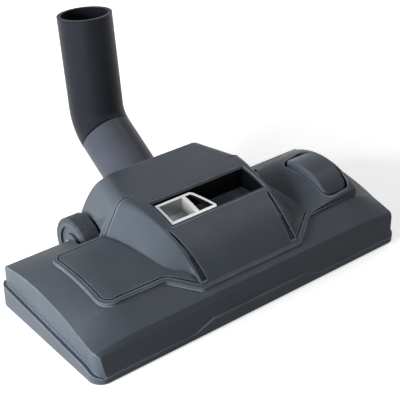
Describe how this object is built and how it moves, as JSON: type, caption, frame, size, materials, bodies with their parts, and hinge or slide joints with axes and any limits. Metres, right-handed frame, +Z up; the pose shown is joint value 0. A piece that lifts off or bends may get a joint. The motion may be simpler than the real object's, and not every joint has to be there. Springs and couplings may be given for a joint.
{
  "type": "vacuum floor brush head",
  "caption": "Wide floor head for a vacuum cleaner: hooded saddle cover, foot rocker that lowers the bristles, silver slide, rear wheels and a swivelling elbow that takes the wand.",
  "frame": {"origin": "on the floor, in the middle of the head, on the lower face of the sole plate", "axes": "+X across the head towards the rocker, +Y to the rear where the neck is, +Z up"},
  "size_m": [0.27, 0.2275, 0.1534],
  "materials": {
    "housing_plastic": "satin moulded, dark slate grey",
    "tube_plastic": "satin moulded, darker grey",
    "black_plastic": "matt moulded, near black",
    "silver_plastic": "silver lacquer",
    "clear_nylon": "natural",
    "soft_rubber": "matt",
    "steel": "bright",
    "bristle_nylon": "fine filaments",
    "picker_pile": "short slanted pile"
  },
  "bodies": {
    "base": {"chassis": "housing_plastic", "sole_plate": "black_plastic", "body_shell": "housing_plastic", "top_cover": "housing_plastic", "slider_tray": "black_plastic", "pedal_pin": "steel", "pedal_spring": "steel", "suction_duct": "black_plastic", "neck_seal": "soft_rubber", "bearing_cap_left": "black_plastic", "bearing_cap_right": "black_plastic", "wheel_axle_left": "steel", "wheel_axle_right": "steel", "lint_picker_front": "picker_pile", "lint_picker_rear_left": "picker_pile", "lint_picker_rear_right": "picker_pile", "housing_screws": "steel", "bearing_screws": "steel"},
    "neck": {"neck": "tube_plastic"},
    "elbow": {"elbow": "tube_plastic", "swivel_ring": "clear_nylon", "swivel_seal": "soft_rubber"},
    "wheel_left": {"wheel_left": "black_plastic", "tyre_left": "soft_rubber"},
    "wheel_right": {"wheel_right": "black_plastic", "tyre_right": "soft_rubber"},
    "slider": {"slider": "silver_plastic", "slider_spring": "steel"},
    "pedal": {"pedal": "housing_plastic"},
    "brush": {"brush_carrier": "black_plastic", "front_bristles": "bristle_nylon", "rear_bristles": "bristle_nylon"}
  },
  "joints": [
    {"name": "neck_tilt", "type": "hinge", "parent": "base", "child": "neck", "pos_m": [0, 0.0595, 0.0205], "axis": [1, 0, 0], "range_deg": [-28, 17]},
    {"name": "elbow_swivel", "type": "hinge", "parent": "neck", "child": "elbow", "pos_m": [0, 0.12275, 0.0608], "axis": [0, 0.8434, 0.5373], "continuous": true},
    {"name": "wheel_left_spin", "type": "hinge", "parent": "base", "child": "wheel_left", "pos_m": [-0.068, 0.0595, 0.0205], "axis": [1, 0, 0], "continuous": true},
    {"name": "wheel_right_spin", "type": "hinge", "parent": "base", "child": "wheel_right", "pos_m": [0.068, 0.0595, 0.0205], "axis": [1, 0, 0], "continuous": true},
    {"name": "slider_slide", "type": "slide", "parent": "base", "child": "slider", "axis": [1, 0, 0], "range_m": [0, 0.04]},
    {"name": "pedal_rock", "type": "hinge", "parent": "base", "child": "pedal", "pos_m": [0.0968, -0.002, 0.0315], "axis": [1, 0, 0], "range_deg": [0, 12]},
    {"name": "brush_drop", "type": "slide", "parent": "base", "child": "brush", "axis": [0, 0, -1], "range_m": [0, 0.005]}
  ],
  "couplings": [
    {"joint": "brush_drop", "follows": "pedal_rock", "m_per_rad": 0.02385}
  ]
}
